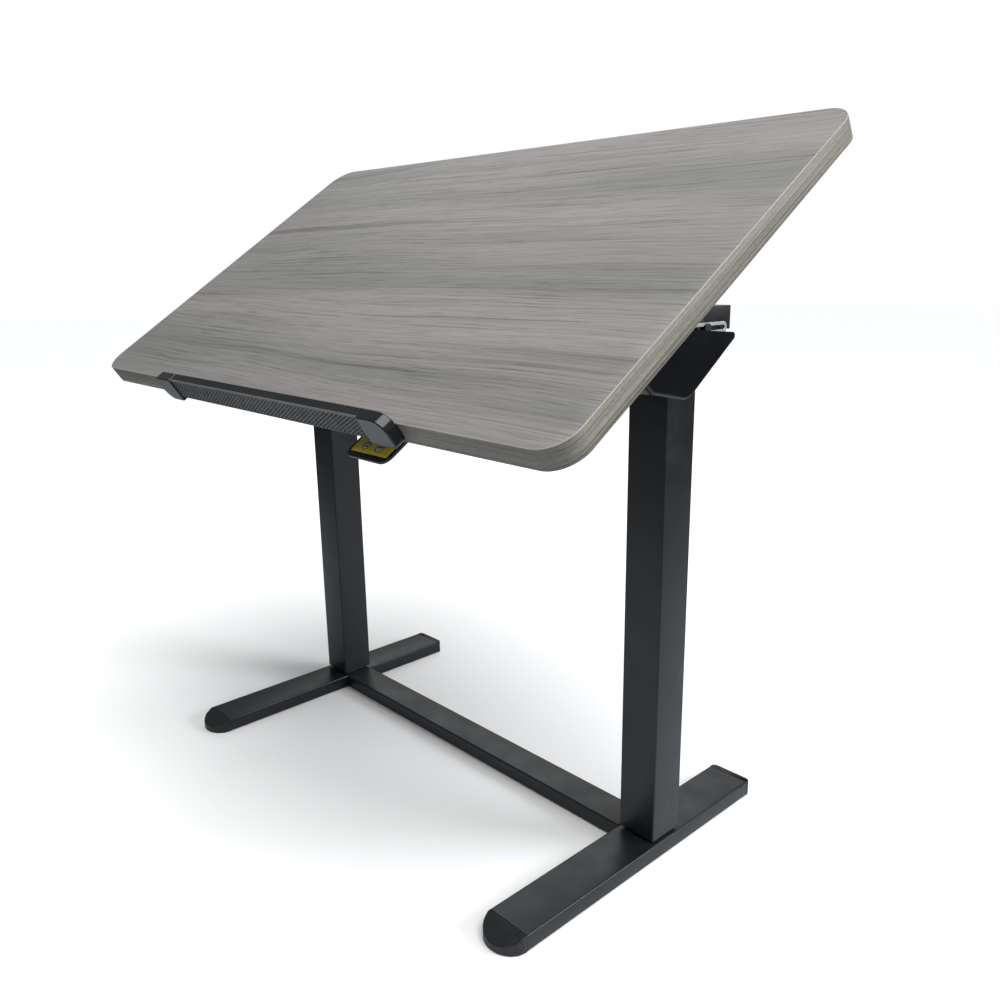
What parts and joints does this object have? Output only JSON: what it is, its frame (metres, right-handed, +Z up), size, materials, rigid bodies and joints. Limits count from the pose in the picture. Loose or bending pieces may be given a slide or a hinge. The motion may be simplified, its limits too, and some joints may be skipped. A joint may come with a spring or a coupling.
{
  "type": "height adjustable standing desk",
  "caption": "Tilting drafting and standing desk on telescoping gas spring columns with T-feet, a front book ledge and a release paddle.",
  "frame": {"origin": "on the floor, in the middle of the desk's footprint box, with the columns at their lowest and the top tilted 33.6 degrees", "axes": "+X along the width of the top to the user's right, +Y from the user towards the rear, +Z up"},
  "size_m": [1.05, 0.5774, 0.9706],
  "materials": {
    "frame_paint": "satin black powder coat",
    "inner_paint": "satin dark grey paint",
    "black_plastic": "fine-grained black moulding",
    "slide_plastic": "plain white acetal",
    "rubber": "matt black rubber",
    "zinc": "zinc plated",
    "rod_chrome": "polished",
    "cast_block": "plain casting",
    "board_core": "particle board",
    "laminate": "grey-taupe wood grain laminate",
    "band": "olive-grey ply-look edge band",
    "ledge_metal": "dark grey satin coat",
    "grip": "ribbed dark grey grip",
    "cap_gloss": "dark grey semi-gloss moulding",
    "paddle_plastic": "black moulding",
    "label": "yellow printed film with plain round pictograms",
    "cable_jacket": "black cable jacket"
  },
  "bodies": {
    "base": {"foot_left": "frame_paint", "foot_right": "frame_paint", "front_cap_left": "black_plastic", "front_cap_right": "black_plastic", "rear_cap_left": "black_plastic", "rear_cap_right": "black_plastic", "glide_pads": "rubber", "crossbar": "frame_paint", "crossbar_bolts": "zinc", "base_plates": "frame_paint", "base_plate_bolts": "zinc", "inner_column_left": "inner_paint", "inner_column_right": "inner_paint", "inner_slides": "slide_plastic", "gas_cylinder_left": "frame_paint", "gas_cylinder_right": "frame_paint"},
    "upper_frame": {"outer_column_left": "frame_paint", "outer_column_right": "frame_paint", "guide_collars": "slide_plastic", "gas_rod_left": "rod_chrome", "gas_rod_right": "rod_chrome", "release_block_left": "cast_block", "release_block_right": "cast_block", "saddle_left": "frame_paint", "saddle_right": "frame_paint", "side_rail_left": "frame_paint", "side_rail_right": "frame_paint", "rail_end_caps": "black_plastic", "rest_bumpers": "rubber", "front_beam": "frame_paint", "rear_beam": "frame_paint", "beam_bolts": "zinc", "hinge_pins": "zinc", "slide_guide_left": "zinc", "slide_guide_right": "zinc", "shaft_bushes": "slide_plastic", "cable_adjuster": "zinc", "cable_anchor": "zinc", "frame_cable": "cable_jacket"},
    "release_shaft": {"release_shaft": "zinc"},
    "release_pins": {"release_pins": "zinc"},
    "top": {"desktop_board": "board_core", "top_laminate": "laminate", "edge_band": "band", "hinge_bracket_left": "frame_paint", "hinge_bracket_right": "frame_paint", "stay_pivot_pins": "zinc", "desktop_screws": "zinc", "ledge_rail": "ledge_metal", "ledge_strip": "grip", "ledge_cap_left": "cap_gloss", "ledge_cap_right": "cap_gloss", "paddle_bracket": "frame_paint", "paddle_pin": "zinc", "desk_cable": "cable_jacket", "cable_clips": "black_plastic"},
    "stays": {"stay_arm_left": "inner_paint", "stay_arm_right": "inner_paint"},
    "paddle": {"release_paddle": "paddle_plastic", "paddle_label": "label"}
  },
  "joints": [
    {"name": "lift", "type": "slide", "parent": "base", "child": "upper_frame", "axis": [0, 0, 1], "range_m": [0, 0.4]},
    {"name": "tilt", "type": "hinge", "parent": "upper_frame", "child": "top", "pos_m": [0, -0.04396, 0.7175], "axis": [1, 0, 0], "range_deg": [-33.6, 11.4]},
    {"name": "stay_swing", "type": "hinge", "parent": "top", "child": "stays", "pos_m": [0, 0.04599, 0.77727], "axis": [1, 0, 0], "range_deg": [-23, 67.4]},
    {"name": "paddle_squeeze", "type": "hinge", "parent": "top", "child": "paddle", "pos_m": [0.229, -0.21612, 0.62713], "axis": [1, 0, 0], "range_deg": [-9, 0], "stiffness_Nm_per_rad": 1, "springref_deg": 8.59},
    {"name": "release_turn", "type": "hinge", "parent": "upper_frame", "child": "release_shaft", "pos_m": [0, 0.06604, 0.706], "axis": [1, 0, 0], "range_deg": [-9.2, 0.2]},
    {"name": "pin_press", "type": "slide", "parent": "upper_frame", "child": "release_pins", "axis": [0, 0, -1], "range_m": [-0.0001, 0.0023]}
  ],
  "couplings": [
    {"joint": "stay_swing", "follows": "tilt", "ratio": -2},
    {"joint": "release_turn", "follows": "paddle_squeeze", "ratio": 1},
    {"joint": "pin_press", "follows": "paddle_squeeze", "m_per_rad": -0.014}
  ]
}
